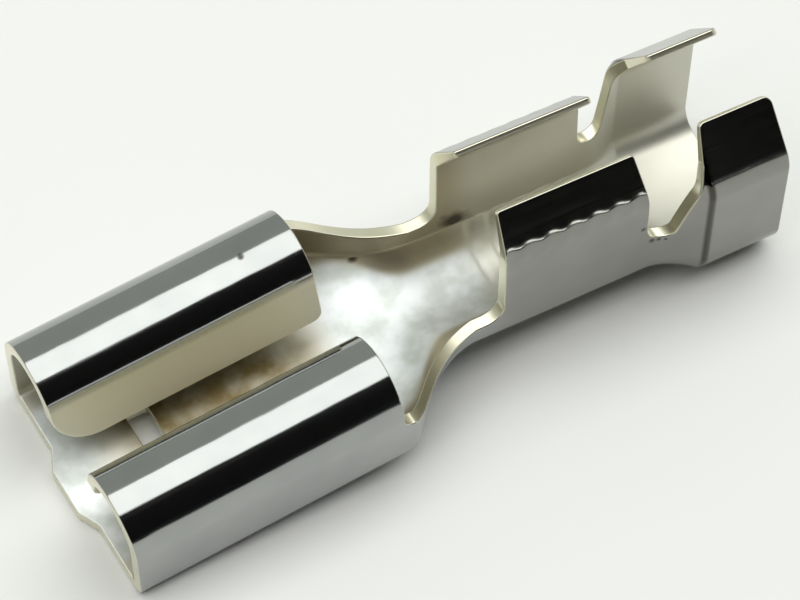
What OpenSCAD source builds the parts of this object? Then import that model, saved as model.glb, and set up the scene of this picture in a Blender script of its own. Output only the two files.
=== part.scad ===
// Female spade terminal for 6.3 mm tabs: one strip of tinned brass, blanked and folded.
// X runs from the tab mouth to the wire end, Y across, Z up. The part lies on Z = 0 as it
// comes to rest, with the origin under the middle of its box.

/* [Strip] */
// Thickness of the brass strip
stock = 0.4; // [0.3:0.05:0.5]

/* [Tab receptacle] */
// Height over the curls
rec_h = 3.68; // [3.6:0.02:4.1]
// Length from the mouth to the rear cut of the curls
rec_len = 8.34; // [7.4:0.1:9.4]
// Outer radius where the floor turns up into the side walls
floor_corner_r = 0.6; // [0.52:0.02:0.7]
// Outer radius of each curl
curl_r = 1.44; // [1.3:0.02:1.5]
// Outer radius of the knee that turns the curl down into its leg
knee_r = 0.6; // [0.5:0.02:0.8]
// Lean of the curl from upright where the knee starts
knee_lean = 38; // [34:1:44]
// Lean of the straight leg from upright
leg_lean = 15; // [10:1:20]
// Thickness of the tab that pushes in
tab_t = 0.8; // [0.75:0.01:0.85]
// Width of the tab that pushes in
tab_w = 6.3; // [5.9:0.1:6.6]
// Room on each side of the tab inside the side walls
tab_side = 0.25; // [0.15:0.05:0.35]
// Play between the tab and the ends of the legs
tab_play = 0.08; // [0.04:0.01:0.12]
// Radius that opens the legs at the mouth
lead_in_r = 1.35; // [1:0.05:1.5]
// Radius on the rear corner of the legs
leg_back_r = 0.3; // [0.1:0.05:0.5]

/* [Tongue and detent window] */
// How far the tongue stands out of the mouth
tongue_out = 0.32; // [0.2:0.02:0.6]
// Width of the tongue at its front edge
tongue_w = 1.5; // [1:0.1:2.2]
// Width of the tongue at its root
tongue_root_w = 2.8; // [2.4:0.1:3.6]
// Distance from the mouth to the detent window in the floor
window_x = 2.24; // [1.6:0.1:3]
// Length of the window along the terminal
window_len = 0.6; // [0.4:0.05:0.9]
// Width of the window across the terminal
window_w = 2.48; // [1.8:0.1:3]
// Corner radius of the window
window_r = 0.12; // [0.05:0.01:0.18]

/* [Neck] */
// Height of the side walls along the neck
neck_h = 1.84; // [1.6:0.04:1.9]
// Length of full width behind the curls before the neck draws in
neck_shoulder = 0.36; // [0.2:0.02:0.5]
// Length over which the neck draws in
neck_draw = 1.33; // [1.1:0.05:1.5]
// How far the walls of the neck lean out at the top
neck_lean_out = 0.2; // [0:0.02:0.3]
// Distance from the curls to where the lines of the two floors cross
bend_x = 1.86; // [1.7:0.02:2.1]
// Length of the bend on each side of that crossing
bend_half = 1.5; // [1.3:0.05:1.6]
// Angle by which the barrels hang below the receptacle's floor
droop = 8.5; // [6:0.5:10]

/* [Wire barrel] */
// Radius of the cradle that the strands lie in
wire_bore_r = 1.95; // [1.85:0.05:2.1]
// Half of the angle that the cradle covers
cradle_half = 56; // [55:1:60]
// Outer radius from the cradle to each wall
wire_corner_r = 0.6; // [0.52:0.02:0.7]
// Height at which the wire wings start to bend inwards
wire_wall_h = 4.58; // [4:0.1:5]
// Outer radius of the bend of the wire wings
wire_bend_r = 0.8; // [0.6:0.05:1]
// Inward lean of the wire wings
wire_lean = 39; // [34:1:44]
// Straight length of each wire wing above its bend
wire_lip = 1.18; // [0.9:0.05:1.4]
// Distance from the crossing of the floors to the front edge of the wire wings
wire_front = 2.4; // [2.2:0.05:2.6]
// Distance from the crossing of the floors to where the flare starts
wire_end = 7.15; // [7:0.05:7.3]
// Radius from the neck's edge up to the front edge of the wire wings
wire_front_r = 0.45; // [0.3:0.05:0.5]
// Corner radius of the wing tips
tip_corner_r = 0.4; // [0.2:0.05:0.5]
// Thickness of the coined wing tips
tip_t = 0.2; // [0.15:0.01:0.25]
// Number of serrations pressed across the wire barrel
serration_n = 5; // [3:1:6]
// Distance from one serration to the next
serration_pitch = 0.72; // [0.65:0.01:0.78]
// Width of each serration
serration_w = 0.3; // [0.2:0.02:0.36]
// Depth of each serration
serration_depth = 0.08; // [0.05:0.01:0.12]

/* [Gap between the wings] */
// Distance from the crossing of the floors to the middle of the gap
gap_x = 7.28; // [7.1:0.05:7.5]
// Radius of the gap's round bottom
gap_r = 0.45; // [0.35:0.05:0.5]
// Height of the gap's bottom above the floor
gap_h = 2.24; // [2:0.05:2.5]
// Forward lean of the wire wings' rear edge
gap_front_lean = 15.6; // [10:0.2:18]
// Rearward lean of the insulation wings' front edge
gap_back_lean = 8; // [4:1:12]

/* [Insulation barrel] */
// Width over the insulation barrel
ins_w = 5.32; // [4.8:0.1:5.8]
// Radius of its nearly flat floor
ins_floor_r = 8; // [6:0.5:12]
// Outer radius from the floor to each wall
ins_corner_r = 1.2; // [0.9:0.05:1.4]
// Height at which the insulation wings start to bend inwards
ins_wall_h = 4.4; // [4:0.1:4.8]
// Outer radius of the bend of the insulation wings
ins_bend_r = 1.2; // [0.9:0.05:1.4]
// Inward lean of the insulation wings
ins_lean = 38; // [34:1:44]
// Straight length of each insulation wing above its bend
ins_lip = 1.8; // [1.4:0.05:2]
// Length of the flare from the wire barrel to the insulation barrel
flare_len = 1.35; // [1:0.05:1.5]
// Length of the insulation barrel behind the flare
ins_len = 2.96; // [2.4:0.1:3.6]

/* [Hidden] */
$fn = 96;
// Overlap by which a cutter runs past the face it cuts
over = 0.5;
// Each transition enters its neighbours over this length, thinner by this much on each face
seam_lap = 0.3;
seam = 0.02;
// Stations and arc steps of the two drawn transitions
neck_stations = 16;
flare_stations = 8;
arc_steps = 5;
cradle_steps = 10;
// Curvature of a floor that is flat
flat_curve = 0.0005;

// Receptacle: centre of each curl, start of the knee and end of the leg
rec_w = tab_w + 2 * tab_side + 2 * stock;
curl_y = rec_w / 2 - curl_r;
curl_z = rec_h - curl_r;
knee_from = 180 - knee_lean;
knee_to = 180 - leg_lean;
knee_y = curl_y + (curl_r - knee_r) * cos(knee_from);
knee_z = curl_z + (curl_r - knee_r) * sin(knee_from);
leg_top_y = knee_y + knee_r * cos(knee_to);
leg_top_z = knee_z + knee_r * sin(knee_to);
leg_end_z = stock + tab_t + tab_play;
leg_len = (leg_top_z - leg_end_z) / cos(leg_lean);
// Radius from the neck's edge up to where the curls begin
neck_front_r = curl_z - neck_h;

// Outer sections of the barrels: [half width, floor curvature, corner radius, wall height,
// bend radius, lean, lip length]
wire_floor_r = wire_bore_r + stock;
wire_half = wire_corner_r + (wire_floor_r - wire_corner_r) * sin(cradle_half);
wire_section = [wire_half, 1 / wire_floor_r, wire_corner_r, wire_wall_h, wire_bend_r, wire_lean, wire_lip];
ins_section = [ins_w / 2, 1 / ins_floor_r, ins_corner_r, ins_wall_h, ins_bend_r, ins_lean, ins_lip];

// Stations along X. The barrels' cross planes stand upright beside their sloping floor, because
// the tools that form them come straight down.
cross_x = rec_len + bend_x;
bend_from = cross_x - bend_half;
bend_to = cross_x + bend_half;
neck_len = bend_to - rec_len;
flare_from = cross_x + wire_end;
flare_to = flare_from + flare_len;
rear_x = flare_to + ins_len;
slope = tan(droop);
wing_top = max(top_of(wire_section), top_of(ins_section));

// Resting attitude: the tongue and the rear edge of the insulation barrel touch the ground
rear_down = slope * (rear_x - cross_x);
rest_pitch = atan(rear_down / (rear_x + tongue_out));
box_front = min(-tongue_out * cos(rest_pitch) - stock * sin(rest_pitch), -rec_h * sin(rest_pitch));
box_rear = rear_x * cos(rest_pitch) + rear_down * sin(rest_pitch);
box_middle = (box_front + box_rear) / 2;

// How far the floor has sunk at a station
function sunk(x) = x < bend_from ? 0 : x < bend_to ? slope * (x - bend_from) ^ 2 / (4 * bend_half) : slope * (x - cross_x);

// How much taller an upright cut through the sloping channel is than a square one
function taller(x) = 1 + (1 / cos(droop) - 1) * min(max((x - bend_from) / (2 * bend_half), 0), 1);

// Where a point of a section stands, at a station along X
function upright(x, p) = [x, p[0], p[1] * taller(x) - sunk(x)];

// Height of a barrel section's wing tips
function top_of(s) = s[3] + s[4] * sin(s[5]) + s[6] * cos(s[5]);

// Points of an arc about [y, z], from one angle to another
function arc(y, z, r, from, to, steps) =
    [for (i = [0 : steps]) let (a = from + (to - from) * i / steps) [y + r * cos(a), z + r * sin(a)]];

// Half-angle of a section's floor arc, where it meets the corner arc
function floor_half(s) = asin((s[0] - s[2]) * s[1] / (1 - s[2] * s[1]));

// Centre of a section's corner arc
function corner_y(s) = s[0] - s[2];
function corner_z(s) = 1 / s[1] - (1 / s[1] - s[2]) * cos(floor_half(s));

// Right half of a section's contour at a depth into the strip, from the floor to the wall's top
function u_half(s, depth, top_y, top_z) = concat(
    arc(0, 1 / s[1], 1 / s[1] - depth, -90, -90 + floor_half(s), cradle_steps),
    arc(corner_y(s), corner_z(s), s[2] - depth, -90 + floor_half(s), 0, arc_steps),
    [[top_y - depth, top_z]]);

// Right half of a whole barrel section: the wall's bend and the coined lip follow
function wing_half(s, depth, tip_depth, trim) = let (
    y = s[0] - s[4],
    a = s[5],
    lip = s[6] - trim,
    end = [y + s[4] * cos(a) - lip * sin(a), s[3] + s[4] * sin(a) + lip * cos(a)]) concat(
    u_half(s, depth, s[0], s[3]),
    [for (i = [1 : arc_steps]) let (b = a * i / arc_steps)
        [y + (s[4] - depth) * cos(b), s[3] + (s[4] - depth) * sin(b)]],
    [[end[0] - tip_depth * cos(a), end[1] - tip_depth * sin(a)]]);

// Closed ring of a folded strip, from its outer and inner half contours
function ring(outer, inner) = concat(
    [for (i = [len(outer) - 1 : -1 : 1]) [-outer[i][0], outer[i][1]]], outer,
    [for (i = [len(inner) - 1 : -1 : 0]) inner[i]], [for (i = [1 : len(inner) - 1]) [-inner[i][0], inner[i][1]]]);

// Ease from 0 to 1 with level ends
function ease(t) = t * t * (3 - 2 * t);

// Skin over equal rings of points, closed at both ends
module skin(rings) {
    n = len(rings[0]);
    m = len(rings);
    points = [for (r = rings) each r];
    sides = [for (j = [0 : m - 2], i = [0 : n - 1])
        let (a = j * n + i, b = j * n + (i + 1) % n)
        each [[a, a + n, b + n], [a, b + n, b]]];
    half = (n - 2) / 2;
    // Each end is a strip of folded sheet: its cap is a ladder from the outer to the inner edge
    ladder = [for (i = [0 : half - 1]) each [[i, i + 1, n - 2 - i], [i, n - 2 - i, (n - 1 - i) % n]]];
    front = [for (f = ladder) [f[0], f[1], f[2]]];
    back = [for (f = ladder) [f[2] + (m - 1) * n, f[1] + (m - 1) * n, f[0] + (m - 1) * n]];
    polyhedron(points = points, faces = concat(sides, front, back), convexity = 6);
}

// Carries a section drawn in the YZ plane along X
module along_x(from, to) {
    translate([from, 0, 0])
        rotate([90, 0, 90])
            linear_extrude(to - from)
                children();
}

// Carries a side view drawn in the XZ plane across the part
module across_y(half_w) {
    rotate([90, 0, 0])
        linear_extrude(2 * half_w, center = true)
            children();
}

// Places children in the frame of the drooped barrels
module drooped() {
    translate([cross_x, 0, 0])
        rotate([0, droop, 0])
            children();
}

// Where an upright plane, this far behind the crossing of the floors, stands at a height in that frame
function upright_at(reach, height) = (reach - height * sin(droop)) / cos(droop);

// Drooped channel of one section, cut off by upright planes at two stations
module drooped_channel(from, to) {
    intersection() {
        drooped()
            along_x(from - cross_x - 2 * wing_top * slope, to - cross_x + 2 * wing_top * slope)
                children();
        translate([from, -rec_w, -2 * wing_top])
            cube([to - from, 2 * rec_w, 4 * wing_top]);
    }
}

// Both halves of a section that is drawn for +Y
module both_sides() {
    children();
    mirror([1, 0])
        children();
}

// Sector of a flat ring about the origin, from one angle to another, less than half a turn
module ring_sector(r_out, r_in, from, to) {
    far = 2 * r_out;
    middle = (from + to) / 2;
    intersection() {
        difference() {
            circle(r_out);
            circle(r_in);
        }
        polygon([[0, 0], far * [cos(from), sin(from)], far * [cos(middle), sin(middle)], far * [cos(to), sin(to)]]);
    }
}

// Curl, knee and leg of one side of the receptacle
module curl_half() {
    translate([curl_y, curl_z]) {
        ring_sector(curl_r, curl_r - stock, 0, 90);
        ring_sector(curl_r, curl_r - stock, 90, knee_from);
    }
    translate([knee_y, knee_z])
        ring_sector(knee_r, knee_r - stock, knee_from, knee_to);
    translate([leg_top_y, leg_top_z])
        rotate(-90 - leg_lean)
            square([leg_len, stock]);
}

// Floor corner and side wall of one side of the receptacle
module side_half() {
    corner = rec_w / 2 - floor_corner_r;
    translate([rec_w / 2 - stock, floor_corner_r])
        square([stock, curl_z - floor_corner_r]);
    translate([corner, floor_corner_r])
        ring_sector(floor_corner_r, floor_corner_r - stock, -90, 0);
    square([corner, stock]);
}

// Tongue in plan, ahead of the mouth
module tongue_plan() {
    polygon([[0, -tongue_root_w / 2], [-tongue_out, -tongue_w / 2], [-tongue_out, tongue_w / 2],
        [0, tongue_root_w / 2]]);
}

// Rounded window in plan
module window_plan() {
    reach_x = window_len / 2 - window_r;
    reach_y = window_w / 2 - window_r;
    square([window_len, 2 * reach_y], center = true);
    square([2 * reach_x, window_w], center = true);
    for (i = [-1, 1], j = [-1, 1])
        translate([i * reach_x, j * reach_y])
            circle(window_r);
}

// Outside of a rounded corner: what is left of the corner p when an arc of radius r is put
// between its two edges, which leave it at the angles a and b
module corner_waste(p, a, b, r) {
    half = abs(a - b) / 2;
    reach = r / tan(half);
    heart = p + r / sin(half) * [cos((a + b) / 2), sin((a + b) / 2)];
    past = p - over * [cos((a + b) / 2), sin((a + b) / 2)];
    difference() {
        polygon([p + reach * [cos(a), sin(a)], past, p + reach * [cos(b), sin(b)], heart]);
        translate(heart)
            circle(r);
    }
}

// Receptacle: a flat floor, two walls and two curls that close down on the tab
module receptacle() {
    difference() {
        along_x(0, rec_len)
            both_sides() {
                side_half();
                curl_half();
            }
        translate([0, 0, stock])
            across_y(curl_y)
                corner_waste([0, leg_end_z - stock], 0, 90, lead_in_r);
        across_y(curl_y)
            corner_waste([rec_len, leg_end_z], 90, 180, leg_back_r);
        translate([window_x + window_len / 2, 0, -over])
            linear_extrude(stock + 2 * over)
                window_plan();
    }
    linear_extrude(stock)
        tongue_plan();
}

// Neck: the channel draws in from the receptacle to the wire barrel while its floor bends down
function neck_share(d) = exp(-pow(max(0, d - neck_shoulder) / neck_draw, 1.5));
function neck_width(d) = let (end = neck_share(neck_len)) (neck_share(d) - end) / (1 - end);
function neck_rise(d) = d < neck_front_r ? neck_front_r - sqrt(neck_front_r ^ 2 - (neck_front_r - d) ^ 2) : 0;
function neck_section(d) = let (w = neck_width(d), t = d / neck_len) [
    wire_half + (rec_w / 2 - wire_half) * w,
    flat_curve + (1 / wire_floor_r - flat_curve) * ease(t),
    floor_corner_r + (wire_corner_r - floor_corner_r) * t];

// One ring of the neck, thinned by an inset on each face
function neck_ring(d, inset) = let (
    along = min(max(d, 0), neck_len),
    s = neck_section(along),
    y = s[0] + neck_lean_out * 2 * (1 - neck_width(along)) * (1 - along / neck_len),
    z = neck_h + neck_rise(along) - inset)
    [for (p = ring(u_half(s, inset, y, z), u_half(s, stock - inset, y, z))) upright(rec_len + d, p)];

module neck() {
    inner = [for (i = [1 : neck_stations - 1]) neck_len * (1 - cos(180 * i / neck_stations)) / 2];
    skin(concat(
        [neck_ring(-seam_lap, seam), neck_ring(0, seam)],
        [for (d = inner) neck_ring(d, 0)],
        [neck_ring(neck_len, seam), neck_ring(neck_len + seam_lap, seam)]));
}

// Region inside a section's contour at a depth into the strip, up to a height
module channel_region(s, depth, top) {
    a = floor_half(s);
    r = 1 / s[1];
    meet = [(r - depth) * sin(a), r - (r - depth) * cos(a)];
    wall = s[0] - depth;
    polygon([[wall, top], [-wall, top], [-wall, corner_z(s)], [-meet[0], meet[1]], meet, [wall, corner_z(s)]]);
    translate([0, r])
        ring_sector(r - depth, 0, -90 - a, -90 + a);
    for (side = [-1, 1])
        translate([side * corner_y(s), corner_z(s)])
            circle(s[2] - depth);
}

// Bend and coined lip of one wing
module wing_profile(s) {
    translate([s[0] - s[4], s[3]]) {
        ring_sector(s[4], s[4] - stock, 0, s[5]);
        rotate(s[5])
            polygon([[s[4] - stock, 0], [s[4], 0], [s[4], s[6]], [s[4] - tip_t, s[6]]]);
    }
}

// Whole section of an open barrel
module barrel_profile(s) {
    difference() {
        channel_region(s, 0, s[3]);
        channel_region(s, stock, s[3] + over);
    }
    both_sides()
        wing_profile(s);
}

// Wire barrel: a cradle for the strands, two wings and the serrations that bite into them
module wire_barrel() {
    span = serration_pitch * (serration_n - 1) + serration_w;
    first = wire_front + (wire_end - wire_front - span) / 2;
    foot = [upright_at(wire_front, neck_h), neck_h];
    head = wing_top + over;
    difference() {
        drooped_channel(bend_to, flare_from)
            barrel_profile(wire_section);
        drooped() {
            across_y(wire_half + over)
                difference() {
                    polygon([[0, neck_h], foot, [upright_at(wire_front, head), head], [0, head]]);
                    corner_waste(foot, 180, 90 + droop, wire_front_r);
                }
            for (i = [0 : serration_n - 1])
                along_x(first + i * serration_pitch, first + i * serration_pitch + serration_w)
                    channel_region(wire_section, stock - serration_depth, wire_wall_h);
        }
    }
}

// One ring of the flare at a share of its length, thinned by an inset on each face
function flare_ring(t, inset) = let (
    s = wire_section + (ins_section - wire_section) * ease(min(max(t, 0), 1)),
    outline = ring(wing_half(s, inset, inset, inset), wing_half(s, stock - inset, tip_t - inset, inset)))
    [for (p = outline) upright(flare_from + flare_len * t, p)];

// Flare: the section opens from the wire barrel to the insulation barrel
module flare() {
    lap = seam_lap / flare_len;
    skin(concat(
        [flare_ring(-lap, seam), flare_ring(0, seam)],
        [for (i = [1 : flare_stations - 1]) flare_ring(i / flare_stations, 0)],
        [flare_ring(1, seam), flare_ring(1 + lap, seam)]));
}

// Insulation barrel: a wider channel whose wings fold over the wire's jacket
module insulation_barrel() {
    drooped_channel(flare_to, rear_x)
        barrel_profile(ins_section);
}

// Gap that parts the wire wings from the insulation wings, with the rounded tips beside it
module wing_gap() {
    centre = [gap_x, gap_h + gap_r];
    rise = wing_top + over - centre[1];
    foot_f = centre - gap_r * [cos(gap_front_lean), sin(gap_front_lean)];
    foot_b = centre + gap_r * [cos(gap_back_lean), -sin(gap_back_lean)];
    head_f = [foot_f[0] - (wing_top + over - foot_f[1]) * tan(gap_front_lean), wing_top + over];
    head_b = [foot_b[0] + (wing_top + over - foot_b[1]) * tan(gap_back_lean), wing_top + over];
    polygon([foot_f, head_f, head_b, foot_b, centre]);
    translate(centre)
        circle(gap_r);
    wire_tip = foot_f + (top_of(wire_section) - foot_f[1]) * [-tan(gap_front_lean), 1];
    corner_waste(wire_tip, 180, 270 + gap_front_lean, tip_corner_r);
    ins_tip = foot_b + (top_of(ins_section) - foot_b[1]) * [tan(gap_back_lean), 1];
    corner_waste(ins_tip, -gap_back_lean - 90, 0, tip_corner_r);
    rear_tip = [upright_at(rear_x - cross_x, top_of(ins_section)), top_of(ins_section)];
    corner_waste(rear_tip, 180, 270 + droop, tip_corner_r);
    front_tip = [upright_at(wire_front, top_of(wire_section)), top_of(wire_section)];
    corner_waste(front_tip, 0, -90 + droop, tip_corner_r);
}

module terminal() {
    color("silver")
        translate([-box_middle, 0, tongue_out * sin(rest_pitch)])
            rotate([0, -rest_pitch, 0])
                union() {
                    receptacle();
                    neck();
                    difference() {
                        union() {
                            wire_barrel();
                            flare();
                            insulation_barrel();
                        }
                        drooped()
                            across_y(ins_w)
                                wing_gap();
                    }
                }
}

terminal();
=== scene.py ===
# A female spade terminal for 6.3 mm tabs, made as the stamping shop makes it: a flat blank is
# cut from tinned brass strip, then folded up about its middle line. Lengths are millimetres
# until the finished sheet is put into metres.
import bpy
import numpy as np
from mathutils import Matrix
from mathutils.geometry import delaunay_2d_cdt


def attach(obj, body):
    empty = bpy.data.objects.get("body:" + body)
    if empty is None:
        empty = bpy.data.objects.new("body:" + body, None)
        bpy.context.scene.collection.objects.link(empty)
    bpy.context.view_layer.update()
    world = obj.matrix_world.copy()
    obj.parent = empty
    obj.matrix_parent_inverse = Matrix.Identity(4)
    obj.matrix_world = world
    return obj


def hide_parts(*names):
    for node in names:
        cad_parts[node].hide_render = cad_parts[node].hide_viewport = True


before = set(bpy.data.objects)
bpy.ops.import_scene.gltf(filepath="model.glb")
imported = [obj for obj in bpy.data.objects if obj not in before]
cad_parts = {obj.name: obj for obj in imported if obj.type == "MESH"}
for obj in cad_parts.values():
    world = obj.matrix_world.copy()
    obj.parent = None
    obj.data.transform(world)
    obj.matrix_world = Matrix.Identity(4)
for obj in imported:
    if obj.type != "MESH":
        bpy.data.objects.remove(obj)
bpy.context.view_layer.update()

# --- The terminal: how its strip folds ----------------------------------------------------
# The terminal is one strip of brass, hot tinned before it is cut, that press tools fold into a
# receptacle with two curls, a drawn neck, a wire barrel and an insulation barrel. It has no joint
# and no fixing: a tab slides into the receptacle, and the barrels are crimped round a wire.

# Half of every cross-section is a run of six stretches, straight or round: floor, floor corner,
# wall, bend, knee and tip.
stock = 0.4                            # thickness of the strip
curl_end = 8.34                        # the receptacle runs from its mouth, at 0, to here
bend_from, bend_to = 8.7, 11.7         # between these the floor bends down to the barrels
flare_from, flare_to = 17.35, 19.0     # it flares ever more steeply, up to a crease at the end
rear = 21.66
cross = 10.2                           # where the lines of the two floors meet
droop = np.radians(8.5)                # slope of the barrels below the receptacle's floor
shoulder, draw_length = 0.36, 1.33     # full width behind the curls, then length of the draw
neck_height, neck_lean = 1.84, 0.4     # height of the neck's walls, and how far they lean out
lean_limit = 1.3                       # above this share of the neck's height they lean no further
tiny = 1e-6                            # keeps the curls' flat floor from a curvature of 0, and
                                       # counts a point on the curls' rear border as theirs

# For each part: half width, curvature of the floor, radius of its corner, height of the wall,
# radius and turn of the bend in degrees, and length of the tip. The knee turns a curl's tip down.
curl = dict(half_width=3.8, corner=0.6, wall=2.24, bend=1.44, turn=142, tip=1.69)
wire = dict(half_width=2.0508, floor=1 / 2.35, corner=0.6, wall=4.58, bend=0.8, turn=39, tip=1.18)
insulation = dict(half_width=2.66, floor=1 / 8, corner=1.2, wall=4.4, bend=1.2, turn=38, tip=1.75)
knee_radius, knee_turn = 0.6, np.radians(23)


def ease(t):
    """Smooth step: three times the square less twice the cube, between 0 and 1."""
    t = np.clip(t, 0, 1)
    return t * t * (3 - 2 * t)


def drawn_in(x):
    """Share of the receptacle's width that is left at a station: 1 on the shoulder behind the
    curls, then the exponential of minus the distance to the power 1.5, down to 0."""
    def share(distance):
        return np.exp(-(np.maximum(0, distance - shoulder) / draw_length) ** 1.5)

    last = share(bend_to - curl_end)
    return np.clip((share(x - curl_end) - last) / (1 - last), 0, 1)


def section(x):
    """Lengths and curvatures of the six stretches at each station, and the height at which the
    wall starts. The width and the floor go from the curls' to the wire barrel's with the neck,
    and every size goes on to the insulation barrel's with the flare."""
    neck = np.clip((x - curl_end) / (bend_to - curl_end), 0, 1)
    flare = np.clip((x - flare_from) / (flare_to - flare_from), 0, 1) ** 2
    curled = x < curl_end + tiny
    flared = {name: wire[name] + (insulation[name] - wire[name]) * flare for name in curl}
    wide = flared["half_width"] + (curl["half_width"] - wire["half_width"]) * drawn_in(x)
    hollow = wire["floor"] * ease(neck) + (insulation["floor"] - wire["floor"]) * flare + tiny
    corner = flared["corner"]
    foot = np.arcsin((wide - corner) * hollow / (1 - corner * hollow))
    wall_from = 1 / hollow - (1 / hollow - corner) * np.cos(foot)
    wall_to, bend, turn, tip = (np.where(curled, curl[name], flared[name])
                                for name in ("wall", "bend", "turn", "tip"))
    knee = np.where(curled, knee_radius * knee_turn, 0)
    lengths = [foot / hollow, corner * (np.pi / 2 - foot), wall_to - wall_from,
               bend * np.radians(turn), knee, tip]
    curvatures = [hollow, 1 / corner, 0 * x, 1 / bend, 1 / knee_radius + 0 * x, 0 * x]
    return lengths, curvatures, wall_from


def strip_height(x, height):
    """Distance along the strip from its middle line to a height on the wall."""
    lengths, _, wall_from = section(np.asarray(x, float))
    return lengths[0] + lengths[1] + height - wall_from


def strip_end(x):
    """Distance along the strip from its middle line to the tip of the leg or wing."""
    return sum(section(np.asarray(x, float))[0])


def barrel_reach(x, height):
    """Distance along the sloping barrels at which a station lies, at a height above their floor."""
    return (x - cross - height * np.sin(droop)) / np.cos(droop)


def fold(x, s, inward):
    """Where a point of the blank lies once folded. Walk from the middle line along the six
    stretches: each adds the chord of its arc, then turns the heading. Step inwards by the depth
    into the sheet, lean the neck's walls out, then make upright cross planes and sink the floor."""
    x, s, inward = np.broadcast_arrays(*[np.asarray(v, float) for v in (x, s, inward)])
    lengths, curvatures, wall_from = section(x)
    y, z, heading, left = np.zeros_like(x), np.zeros_like(x), np.zeros_like(x), s.copy()
    for length, curvature in zip(lengths, curvatures):
        step = np.clip(left, 0, length)
        half_turn = curvature * step / 2
        chord = step * np.sinc(half_turn / np.pi)
        y, z = y + chord * np.cos(heading + half_turn), z + chord * np.sin(heading + half_turn)
        heading, left = heading + curvature * step, left - length
    up = np.clip((z - wall_from) / (neck_height - wall_from), 0, lean_limit)
    along = np.clip((x - curl_end) / (bend_to - curl_end), 0, 1)
    y = y + neck_lean * (1 - drawn_in(x)) * (1 - along) * up * (x > curl_end)
    y, z = y - inward * np.sin(heading), z + inward * np.cos(heading)
    bent = np.clip((x - bend_from) / (bend_to - bend_from), 0, 1)
    bending = (bend_to - bend_from) / 2 * bent ** 2
    sunk = np.tan(droop) * np.where(x < bend_to, bending, x - cross)
    return np.stack([x, y, z * (1 + (1 / np.cos(droop) - 1) * bent) - sunk], -1)


# At rest the part tips back until its tongue and its rear edge touch the ground.
tongue_reach = 0.32
rear_drop = np.tan(droop) * (rear - cross)
pitch = np.arctan(rear_drop / (rear + tongue_reach))
front_end = min(-(curl["wall"] + curl["bend"]) * np.sin(pitch),
                -tongue_reach * np.cos(pitch) - stock * np.sin(pitch))
rear_end = rear * np.cos(pitch) + rear_drop * np.sin(pitch)


def tipped_back(vectors):
    """Vectors turned by the pitch about Y."""
    x, y, z = vectors.T
    return np.stack([x * np.cos(pitch) - z * np.sin(pitch), y,
                     x * np.sin(pitch) + z * np.cos(pitch)], 1)


def at_rest(points):
    """The folded sheet tipped back, centred, and lifted on to the ground, in metres."""
    lift = [-(front_end + rear_end) / 2, 0, tongue_reach * np.sin(pitch)]
    return (tipped_back(points) + lift) / 1000


# --- The terminal: its blank --------------------------------------------------------------
# One half of the flat piece as the die cuts it: station along the terminal by distance from the
# middle line. The cut runs round the insulation wing, the gap, the wire wing, the neck, the curl
# with its rounded lead-in, and the tongue, and round the window for a tab's detent.
cut_step, arc_step = 0.07, 0.05        # spacing of the cut's points, on straights and on corners


def run(start, end):
    """Equal steps from one point to another, without the first."""
    steps = max(1, int(round(np.hypot(*(end - start)) / cut_step)))
    return list(start + (end - start) * np.linspace(0, 1, steps + 1)[1:, None])


def rounded(corners):
    """Polyline through corners given as (x, s, radius): each corner becomes an arc that leaves
    both of its edges at the tangent points, and each straight run is cut into equal steps."""
    corners = np.array(corners, float)
    points = [corners[0, :2]]
    for before, here, after in zip(corners[:-2], corners[1:-1], corners[2:]):
        to_before = (before - here)[:2] / np.hypot(*(before - here)[:2])
        to_after = (after - here)[:2] / np.hypot(*(after - here)[:2])
        half = np.arccos(np.clip(to_before @ to_after, -1, 1)) / 2
        middle = (to_before + to_after) / np.hypot(*(to_before + to_after))
        centre = here[:2] + middle * here[2] / np.sin(half)
        start = here[:2] + to_before * here[2] / np.tan(half) - centre
        side = np.sign(start[0] * middle[1] - start[1] * middle[0])
        sweep = np.pi - 2 * half
        turns = -side * np.linspace(0, sweep, max(3, int(np.ceil(sweep * here[2] / arc_step)) + 1))
        arc = centre + np.stack([start[0] * np.cos(turns) - start[1] * np.sin(turns),
                                 start[0] * np.sin(turns) + start[1] * np.cos(turns)], 1)
        points += [*run(points[-1], arc[0]), *arc[1:]]
    points += run(points[-1], corners[-1, :2])
    return np.array(points)


def tip_height(barrel):
    """Height of a wing's tip: the wall, then the bend's and the slanting tip's own rise."""
    turn = np.radians(barrel["turn"])
    return barrel["wall"] + barrel["bend"] * np.sin(turn) + barrel["tip"] * np.cos(turn)


# The gap between the wings is a round-bottomed V: each edge is given by its station at the
# height where the gap's middle is set, and by how far it runs back for each unit of height.
gap_reach, gap_height, gap_radius = 7.28, 2.69, 0.45
gap_middle = cross + gap_reach * np.cos(droop) + gap_height * np.sin(droop)
wire_slant, insulation_slant = -0.03, 0.26
wire_side = gap_middle - gap_radius * np.hypot(1, wire_slant)
insulation_side = gap_middle + gap_radius * np.hypot(1, insulation_slant)
gap_depth = (insulation_side - wire_side) / (insulation_slant - wire_slant)    # to the V's point
wing_front, chamfer_to, chamfer_height = 12.59, 12.8, 6.1
root_radius = 0.4                      # where the neck's edge meets the curl's

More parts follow.
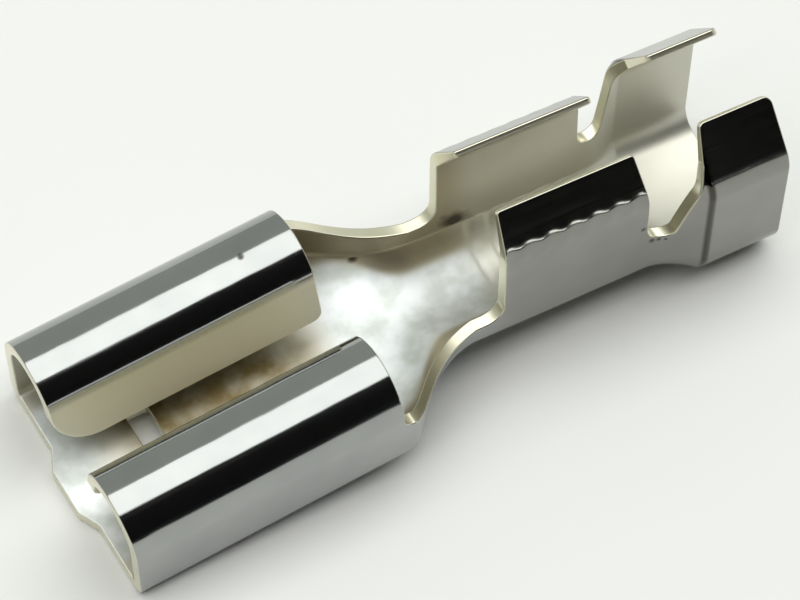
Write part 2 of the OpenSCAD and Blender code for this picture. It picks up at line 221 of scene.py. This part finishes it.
back_of_curl = rounded([
    (rear, 0, 0), (rear, strip_end(rear), 0.3),
    (insulation_side + insulation_slant * (tip_height(insulation) - gap_height), strip_end(rear), 0.2),
    (wire_side - wire_slant * gap_depth, strip_height(gap_middle, gap_height - gap_depth), gap_radius),
    (wire_side + wire_slant * (tip_height(wire) - gap_height), strip_end(bend_to), 0.12),
    (chamfer_to, strip_end(bend_to), 0.12), (wing_front, chamfer_height, 0.5),
    (wing_front, strip_height(wing_front, neck_height), 0.6),
    (bend_to, strip_height(bend_to, neck_height), 0)])
neck_x = np.linspace(bend_to, curl_end + root_radius, 44)[1:]
neck_edge = np.stack([neck_x, strip_height(neck_x, neck_height)], 1)
root_turn = np.linspace(np.pi / 2, 0, 13)[1:]
root = np.stack([curl_end + root_radius * (1 - np.cos(root_turn)),
                 strip_height(curl_end, curl["wall"] - root_radius * np.sin(root_turn))], 1)
front = rounded([
    (curl_end, strip_height(curl_end, curl["wall"]), 0), (curl_end, strip_end(0), 0.3),
    (0, strip_end(0), 1.35), (0, 1.4, 0.25), (-tongue_reach, 0.75, 0.16), (-tongue_reach, 0, 0)])
outline = np.concatenate([back_of_curl, neck_edge, root, front[1:]])
window_from, window_to, window_half = 2.24, 2.9, 1.24
window = rounded([(window_from, 0, 0), (window_from, window_half, 0.12),
                  (window_to, window_half, 0.12), (window_to, 0, 0)])


def into_metal(line):
    """Unit vectors at right angles to a cut line, to its left, where the metal is."""
    along = np.gradient(line, axis=0)
    along[[0, -1]] = [[0, along[0, 1]], [0, along[-1, 1]]]
    side = np.stack([-along[:, 1], along[:, 0]], 1)
    return side / np.hypot(*side.T)[:, None]


def clear_of(points, lines, gap):
    """Which points lie further than a gap from every point of the cut lines, worked out in 40
    lots to save memory."""
    far = np.ones(len(points), bool)
    for part in np.array_split(np.arange(len(points)), 40):
        apart = points[part, None, :] - lines[None, :, :]
        far[part] = (apart ** 2).sum(-1).min(1) > gap ** 2
    return far


def lattice(x_from, x_to, x_step, s_to, s_step):
    """Evenly spaced points over a stretch of the blank, off the middle line."""
    x = np.arange(x_from + x_step / 2, x_to, x_step)
    s = np.arange(s_step, s_to, s_step)
    return np.stack(np.meshgrid(x, s, indexing="ij"), -1).reshape(-1, 2)


# The die rounds the cut edges, so each cut line is followed by two more inside it. The rest of the
# metal gets points on the middle line and a lattice, which is closest where the wire barrel is
# serrated.
edge_round = 0.05
middle_gap, lattice_gap = 0.09, edge_round + 0.055       # the nearest that those come to a cut
same_point = 1e-7                                        # points no further apart than this are one
rows = [(line, depth) for depth in (0, 0.015, edge_round) for line in (outline, window)]
middle = np.concatenate([np.linspace(-tongue_reach, window_from, 22)[1:-1],
                         np.linspace(window_to, rear, 140)[1:-1]])
middle = middle[clear_of(np.stack([middle, 0 * middle], 1),
                         np.array([[-tongue_reach, 0], [window_from, 0], [window_to, 0], [rear, 0]]),
                         middle_gap)]
field = np.concatenate([lattice(-tongue_reach, bend_to, 0.13, 11.3, 0.115),
                        lattice(bend_to, flare_from, 0.066, 7.7, 0.13),
                        lattice(flare_from, rear, 0.12, 9.1, 0.13)])
field = field[clear_of(field, np.concatenate([outline, window]), lattice_gap)]
flat = np.concatenate([line + depth * into_metal(line) for line, depth in rows]
                      + [np.stack([middle, 0 * middle], 1), field])
inner_points = np.zeros((len(middle) + len(field), 2))
away = np.concatenate([-into_metal(line) for line, _ in rows] + [inner_points])
depth_in = np.concatenate([np.full(len(line), depth) for line, depth in rows]
                          + [np.full(len(inner_points), edge_round)])

# The die line is one closed loop round this half of the metal, through the middle line. The rows
# are kept as edges. Output type 1 fills the loop alone, with the points as they are numbered here.
starts = np.cumsum([0] + [len(line) for line, _ in rows])
on_outline, on_window = np.arange(starts[0], starts[1]), np.arange(starts[1], starts[2])
before_window = starts[-1] + np.flatnonzero(middle < window_from)
behind_window = starts[-1] + np.flatnonzero(middle > window_to)
die_line = np.concatenate([on_outline, before_window, on_window, behind_window])
edges = [(int(i), int(i + 1)) for start, stop in zip(starts, starts[1:]) for i in range(start, stop - 1)]
triangles = np.array(delaunay_2d_cdt(flat.tolist(), edges, [die_line.tolist()], 1, same_point)[2])

# --- The terminal: the folded sheet -------------------------------------------------------
# The strip with its real thickness. The serrations that grip the wire are pressed, and the tips
# of the barrels' wings thinned, before it is folded.
groove_from, groove_pitch, grooves, groove_depth = 3.335, 0.72, 5, 0.05
cradle_half, groove_end, groove_fade = 1.2, 2.7, 0.8     # along the strip from its middle line
ripple_from, ripple_to, ripple_bend = 12.6, 17.4, 4.6    # the wing's stations, its bend's height
ripple_height, ripple_at, ripple_spread = 0.035, 6.0, 0.3
x, s = flat.T                                            # the blank's points: station, distance


def thickness(x, s):
    """Sheet thickness: the stock, thinned evenly to half at the tips of the barrels' wings."""
    lengths, _, _ = section(x)
    to_tip = np.clip((s - sum(lengths[:5])) / lengths[5], 0, 1)
    return stock - stock / 2 * to_tip * (x > curl_end)


def serrations(x, s):
    """Share of the grooves' depth, across the wire barrel's cradle: a row of raised cosines,
    made narrower by the power 2.2, fading out above the cradle. On the wall the height is very
    nearly the distance along the strip beyond the cradle."""
    height = 0.97 * np.maximum(0, s - cradle_half)
    phase = (barrel_reach(x, height) - groove_from) / groove_pitch
    row = np.clip(0.5 + 0.5 * np.cos(2 * np.pi * phase), 0, 1) ** 2.2
    pressed = (phase > -0.5) & (phase < grooves - 0.5) & (x > bend_to)
    return row * pressed * ease((groove_end - s) / groove_fade)


def telegraphed(x, s):
    """The same rows showing through outside, where the bend stretches the metal: raised cosines
    along the barrel times a bell curve across the bend."""
    phase = (barrel_reach(x, ripple_bend) - groove_from) / groove_pitch
    ripple = (0.5 + 0.5 * np.cos(2 * np.pi * phase)) * (x > ripple_from) * (x < ripple_to)
    return ripple * np.exp(-((s - ripple_at) / ripple_spread) ** 2)


def surface(x, s, depth, inner):
    """A face of the sheet: the outer one at its rounded edge's depth plus the ripple, the inner
    one a thickness further in, less its own rounding and the grooves."""
    drop = edge_round - np.sqrt(np.maximum(edge_round ** 2 - (edge_round - depth) ** 2, 0))
    if inner:
        return fold(x, s, thickness(x, s) - drop - groove_depth * serrations(x, s))
    return fold(x, s, drop + ripple_height * telegraphed(x, s))


def face_and_normals(inner):
    """Points of one face with their normals: the cross product of the two slopes of the folded
    surface, turned towards the cut by the quarter circle that rounds its edge."""
    step = 2e-3
    forward = np.where(x < curl_end + tiny, -step, step)
    whole = np.full_like(x, edge_round)
    along = (surface(x + forward, s, whole, inner) - surface(x, s, whole, inner)) / forward[:, None]
    across = (surface(x, s + step, whole, inner) - surface(x, s - step, whole, inner)) / (2 * step)
    normal = np.cross(along, across)
    normal /= np.linalg.norm(normal, axis=1)[:, None]
    normal = normal if inner else -normal
    out = along * away[:, :1] + across * away[:, 1:]
    out /= np.maximum(np.linalg.norm(out, axis=1), 1e-9)[:, None]
    lean = ((edge_round - depth_in) / edge_round)[:, None] * (np.abs(away).sum(1) > 0)[:, None]
    return surface(x, s, depth_in, inner), normal * np.sqrt(1 - lean ** 2) + out * lean


# Four copies of the blank's points: outer face, inner face, and the other half's two. A point on
# the middle line is its own mirror image. Where the metal is cut, a rim joins outer to inner.
outer, outer_normal = face_and_normals(False)
inner, inner_normal = face_and_normals(True)
half = len(flat)
flip = np.array([1, -1, 1])
points = np.concatenate([outer, inner, outer * flip, inner * flip])
normals = np.concatenate([outer_normal, inner_normal, outer_normal * flip, inner_normal * flip])
on_strip = np.concatenate([flat, flat, flat * [1, -1], flat * [1, -1]])
bare = np.tile(1 - depth_in / edge_round, 4)
inside = np.repeat([0.0, 1.0, 0.0, 1.0], half)
outer_mirror = np.arange(half) + np.where(np.abs(s) < same_point, 0, 2 * half)
inner_mirror = outer_mirror + half
faces = [triangles[:, ::-1], triangles + half, outer_mirror[triangles], inner_mirror[triangles][:, ::-1]]
for line in (on_outline, on_window):
    a, b = line[:-1], line[1:]
    faces += [np.stack([a, b, b + half], 1), np.stack([a, b + half, a + half], 1),
              np.stack([outer_mirror[b], outer_mirror[a], inner_mirror[a]], 1),
              np.stack([outer_mirror[b], inner_mirror[a], inner_mirror[b]], 1)]
faces = np.concatenate(faces)

# Lattice points beyond the cut belong to no triangle, so only the points in use are kept.
used, faces = np.unique(faces, return_inverse=True)
faces = faces.reshape(-1, 3)
points, normals, on_strip = points[used], normals[used], on_strip[used]
bare, inside = bare[used], inside[used]

sheet = bpy.data.meshes.new("folded_strip")
sheet.vertices.add(len(points))
sheet.vertices.foreach_set("co", at_rest(points).astype(np.float32).ravel())
sheet.loops.add(faces.size)
sheet.loops.foreach_set("vertex_index", faces.astype(np.int32).ravel())
sheet.polygons.add(len(faces))
sheet.polygons.foreach_set("loop_start", np.arange(0, faces.size, 3, dtype=np.int32))
sheet.update(calc_edges=True)
sheet.validate()
strip_map = sheet.uv_layers.new(name="on the strip, mm")
strip_map.data.foreach_set("uv", on_strip[faces.ravel()].astype(np.float32).ravel())
for name, values in (("cut edge", bare), ("inside", inside)):
    sheet.attributes.new(name, "FLOAT", "POINT").data.foreach_set("value", values.astype(np.float32))
sheet.polygons.foreach_set("use_smooth", np.ones(len(faces), bool))
sheet.normals_split_custom_set_from_vertices(tipped_back(normals).astype(np.float32))

terminal = bpy.data.objects.new("terminal_sheet", sheet)
bpy.context.collection.objects.link(terminal)
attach(terminal, "root")
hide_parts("terminal")


def linear(hex_colour):
    """sRGB hex to a linear colour with full alpha."""
    part = np.array([int(hex_colour[i:i + 2], 16) for i in (1, 3, 5)]) / 255
    return (*np.where(part <= 0.04045, part / 12.92, ((part + 0.055) / 1.055) ** 2.4), 1)


# Bright tin over rolled brass. Outside it is nearly a mirror, with the mill's fine lines along
# the strip and slow waves from the forming, and painted darker on the barrels as painted shade.
# Inside it is satin and warmer, and dullest on the curls' legs, which are painted paler as a
# painted highlight. Brass shows where the die cut it.
tin = bpy.data.materials.new("tinned_brass")
tin.use_nodes = True
tin.node_tree.nodes.clear()


def node(kind, inputs=None, output=0, **settings):
    """Add a node to the tin and return one of its outputs. Each input takes an earlier node's
    output, a value or an sRGB hex colour, and the settings go to the node's properties."""
    new = tin.node_tree.nodes.new(kind)
    for name, value in settings.items():
        setattr(new, name, value)
    for socket, value in (inputs or {}).items():
        if isinstance(value, bpy.types.NodeSocket):
            tin.node_tree.links.new(new.inputs[socket], value)
        else:
            new.inputs[socket].default_value = linear(value) if isinstance(value, str) else value
    return new.outputs[output] if len(new.outputs) else None


def ramp(value, start, end, low=0.0, high=1.0, shape="SMOOTHSTEP"):
    """Low where the value is at the start or before it, and high where it is at the end or past
    it. The end may be less than the start."""
    return node("ShaderNodeMapRange", {0: value, 1: start, 2: end, 3: low, 4: high},
                interpolation_type=shape)


def maths(operation, *terms):
    """A number worked out from others."""
    return node("ShaderNodeMath", dict(enumerate(terms)), operation=operation)


def tinted(share, first, second, blend_type="MIX"):
    """The first colour, turned into the second or multiplied by it, by a share."""
    return node("ShaderNodeMix", {0: share, 6: first, 7: second}, 2, data_type="RGBA",
                blend_type=blend_type)


def with_roughness(share, first, second):
    """The first roughness, turned into the second by a share."""
    return node("ShaderNodeMix", {0: share, 2: first, 3: second})


# Places on the strip: the station and the distance from its middle line, and from these or from
# the mesh's attributes the inner face, the cut edges, the curls' legs and the barrels.
strip = node("ShaderNodeUVMap", uv_map="on the strip, mm")
station = node("ShaderNodeSeparateXYZ", {0: strip}, "X")
from_middle = maths("ABSOLUTE", node("ShaderNodeSeparateXYZ", {0: strip}, "Y"))
inner_face = node("ShaderNodeAttribute", output="Fac", attribute_name="inside")
edge = node("ShaderNodeAttribute", output="Fac", attribute_name="cut edge")
on_edge = ramp(edge, 0.35, 0.9, shape="LINEAR")
on_leg = ramp(from_middle, 9.45, 9.75, shape="LINEAR")
on_barrels = ramp(station, 11.4, 13.0)

# The mill's lines are drawn 1/14 mm apart and 4 mm long, coarser than the real ones, so that they
# show. The waves are 1.1 mm across, in object metres, and the patches 0.9 mm, on the strip.
lines = node("ShaderNodeMapping", {0: strip, "Scale": (1 / 4, 14, 1)})
mill = node("ShaderNodeTexNoise", {0: lines, "Scale": 1.0, "Detail": 3.0, "Roughness": 0.6})
waves = node("ShaderNodeTexNoise", {0: node("ShaderNodeTexCoord", output="Object"),
                                    "Scale": 900.0, "Detail": 1.0})
patches = node("ShaderNodeTexNoise", {0: strip, "Scale": 1.1, "Detail": 3.0})

tin_colour = tinted(waves, "#9c9e9d", "#aaacaa")
# Painted shade: the barrels' outer tin is multiplied darker, for the darker reflections on their walls.
tin_colour = tinted(on_barrels, tin_colour, "#dfdcd6", "MULTIPLY")
tin_colour = tinted(inner_face, tin_colour, "#d4d2c6")
# Painted highlight: the curls' legs are painted a paler, creamier tin, for the light they catch.
tin_colour = tinted(on_leg, tin_colour, "#f0ecda")

# The neck's floor, up to a line that closes in with the floor, is a more matt tin, painted whiter
# and mottled as a painted highlight, and the walls beside it are painted browner as painted shade.
# The floor at the mouth is matt and painted whiter too.
floor_reach = ramp(station, 9.2, 11.3, 2.75, 1.45)
past_floor = maths("SUBTRACT", from_middle, floor_reach)
on_floor, on_wall = ramp(past_floor, 0.12, -0.3), ramp(past_floor, -0.15, 0.2)
on_neck = maths("MULTIPLY", ramp(station, 7.8, 8.8), ramp(station, 14.0, 12.6))
in_neck = maths("MULTIPLY", on_neck, inner_face)
neck_or_mouth = maths("MAXIMUM", on_neck, ramp(station, 1.7, 0.5))
inside_neck_or_mouth = maths("MULTIPLY", neck_or_mouth, inner_face)
matt_floor_painted_highlight = maths("MULTIPLY", inside_neck_or_mouth, on_floor)
cloudy = ramp(patches, 0.35, 0.6, shape="LINEAR")
# Painted highlight: the matt floor of the neck and the mouth is painted a mottled near-white.
tin_colour = tinted(matt_floor_painted_highlight, tin_colour, tinted(cloudy, "#d3d8d3", "#eef1f2"))
# Painted shade: the neck's walls beside its floor are painted browner.
tin_colour = tinted(maths("MULTIPLY", in_neck, on_wall), tin_colour, "#b9b098")

# Painted shade: the receptacle's floor between the curls is painted a patchy brown, for the shade
# under their lips.
painted_floor_shade = ramp(station, 1.5, 2.3)
for limit in (ramp(station, 8.6, 6.4), ramp(from_middle, 2.6, 1.2),
              ramp(patches, 0.35, 0.6, 0.6, 1.0, "LINEAR"), inner_face):
    painted_floor_shade = maths("MULTIPLY", painted_floor_shade, limit)
tin_colour = tinted(painted_floor_shade, tin_colour, "#80724f")

# Small dark spots with ragged edges: station, distance from the middle line (less than 0 where
# Y is), radius, and 1 on the inner face or 0 on the outer.
darkest = 0.85
for mark_x, mark_s, mark_radius, mark_inside in [(6.68, 8.12, 0.07, 0.0), (17.15, -4.72, 0.08, 0.0),
                                                     (17.5, -3.92, 0.09, 0.0), (17.72, -3.9, 0.07, 0.0),
                                                     (17.93, -3.88, 0.06, 0.0), (13.22, 2.78, 0.36, 1.0),
                                                     (10.1, 2.45, 0.09, 1.0)]:
    apart = node("ShaderNodeVectorMath", {0: strip, 1: (mark_x, mark_s, 0)}, "Value",
                 operation="DISTANCE")
    ragged = maths("MULTIPLY", apart, patches)
    spot = ramp(ragged, mark_radius * 0.75, mark_radius * 0.3, high=darkest, shape="LINEAR")
    this_face = maths("COMPARE", inner_face, mark_inside, 0.3)
    tin_colour = tinted(maths("MULTIPLY", spot, this_face), tin_colour, "#2a2118")

# Painted shade: a dark line painted on the outside, in the crease where the insulation barrel starts.
off_crease = maths("ABSOLUTE", maths("SUBTRACT", station, flare_to + 0.03))
in_crease = ramp(off_crease, 0.16, 0.05, high=darkest)
crease_shade = maths("MULTIPLY", in_crease, maths("SUBTRACT", 1.0, inner_face))
tin_colour = tinted(crease_shade, tin_colour, "#3a3530")
tin_colour = tinted(on_edge, tin_colour, "#e2dec8")

roughness = ramp(mill, 0.3, 0.7, 0.08, 0.14, "LINEAR")
for share, own_roughness in ((inner_face, 0.45), (on_leg, 0.6), (matt_floor_painted_highlight, 0.56), (on_edge, 0.28)):
    roughness = with_roughness(share, roughness, own_roughness)
lined = node("ShaderNodeBump", {"Height": mill, "Strength": 0.03, "Distance": 0.00002})
waved = node("ShaderNodeBump", {"Height": waves, "Normal": lined, "Strength": 0.25, "Distance": 0.00004})
metal = node("ShaderNodeBsdfPrincipled", {"Base Color": tin_colour, "Roughness": roughness,
                                          "Normal": waved, "Metallic": 1.0})
node("ShaderNodeOutputMaterial", {0: metal})
sheet.materials.append(tin)


# --- The table ----------------------------------------------------------------------------
def paint(name, hex_colour, roughness):
    """A plain material."""
    material = bpy.data.materials.new(name)
    material.use_nodes = True
    shader = material.node_tree.nodes["Principled BSDF"]
    shader.inputs["Base Color"].default_value = linear(hex_colour)
    shader.inputs["Roughness"].default_value = roughness
    return material


def panel(name, corners, material):
    """A flat piece of the stage, with no thickness."""
    mesh = bpy.data.meshes.new(name)
    mesh.from_pydata(corners, [], [(0, 1, 2, 3)])
    mesh.materials.append(material)
    piece = bpy.data.objects.new(name, mesh)
    bpy.context.collection.objects.link(piece)
    return piece


# A pale laminate table top, 3 m square, matt, so that it shows a soft shadow and no mirror image.
# The terminal lies on it, on its tongue and its rear edge.
table_reach = 1.5
table = panel("table", [(-table_reach, -table_reach, 0), (table_reach, -table_reach, 0),
                        (table_reach, table_reach, 0), (-table_reach, table_reach, 0)],
              paint("pale_laminate", "#eaeae8", 0.7))

# --- The studio ---------------------------------------------------------------------------
# One large soft lamp overhead and a short strip lamp low at the side, with black paper cards
# round them that give the bright metal its dark bands, and a grey room beyond. In metres.
lamp_from, lamp_to = 0.175, 0.277      # the strip lamp's ends along X
card_reach = 0.45
black_paper = paint("black_paper", "#0c0c0c", 1.0)
for name, x_from, x_to, (y_low, z_low), (y_high, z_high) in (
        ("black_card", -card_reach, card_reach, (-0.50, 0.082), (-0.145, 0.345)),
        ("low_black_card", -card_reach, card_reach, (-0.53, 0.0), (-0.53, 0.034)),
        ("left_flag", -card_reach, lamp_from, (-0.52, 0.034), (-0.52, 0.086)),
        ("right_flag", lamp_to, 0.60, (-0.52, 0.034), (-0.52, 0.086))):
    board = panel(name, [(x_from, y_low, z_low), (x_to, y_low, z_low),
                         (x_to, y_high, z_high), (x_from, y_high, z_high)], black_paper)
    board.visible_camera = False

# An area lamp's power is pi times its radiance times its area.
lamp_middle = (lamp_from + lamp_to) / 2
for name, radiance, width, depth, lamp_at, tilt in (
        ("softbox", 1.9, 2 * card_reach, 0.33, (0, 0.024, 0.35), 0),
        ("strip_lamp", 2.8, lamp_to - lamp_from, 0.037, (lamp_middle, -0.52, 0.06), np.pi / 2)):
    lamp = bpy.data.lights.new(name, "AREA")
    lamp.shape = "RECTANGLE"
    lamp.size, lamp.size_y = width, depth
    lamp.energy = radiance * np.pi * width * depth
    lamp_object = bpy.data.objects.new(name, lamp)
    lamp_object.location = lamp_at
    lamp_object.rotation_euler = (tilt, 0, 0)
    bpy.context.collection.objects.link(lamp_object)

room = bpy.data.worlds.new("room")
room.use_nodes = True
room.node_tree.nodes["Background"].inputs["Color"].default_value = linear("#bbc0b9")
bpy.context.scene.world = room

# --- The camera ---------------------------------------------------------------------------
# A long lens above the mouth end, looking down across the near curl. The script gives its place,
# the way it looks and the way its right side points, made square to each other.
lens = bpy.data.cameras.new("camera")
lens.lens, lens.sensor_width = 155.9, 36
lens.clip_start = 0.01
camera_at = (-0.032141, -0.042280, 0.083791)
towards = np.array([0.32657, 0.43510, -0.83907])
towards /= np.linalg.norm(towards)
right = np.array([0.85551, -0.51350, 0.06666])
right -= towards * (right @ towards)
right /= np.linalg.norm(right)
above = np.cross(right, towards)
camera = bpy.data.objects.new("camera", lens)
camera.matrix_world = Matrix([*zip(right, above, -towards, camera_at), (0, 0, 0, 1)])
bpy.context.collection.objects.link(camera)
bpy.context.scene.camera = camera
bpy.context.scene.view_settings.view_transform = "Standard"
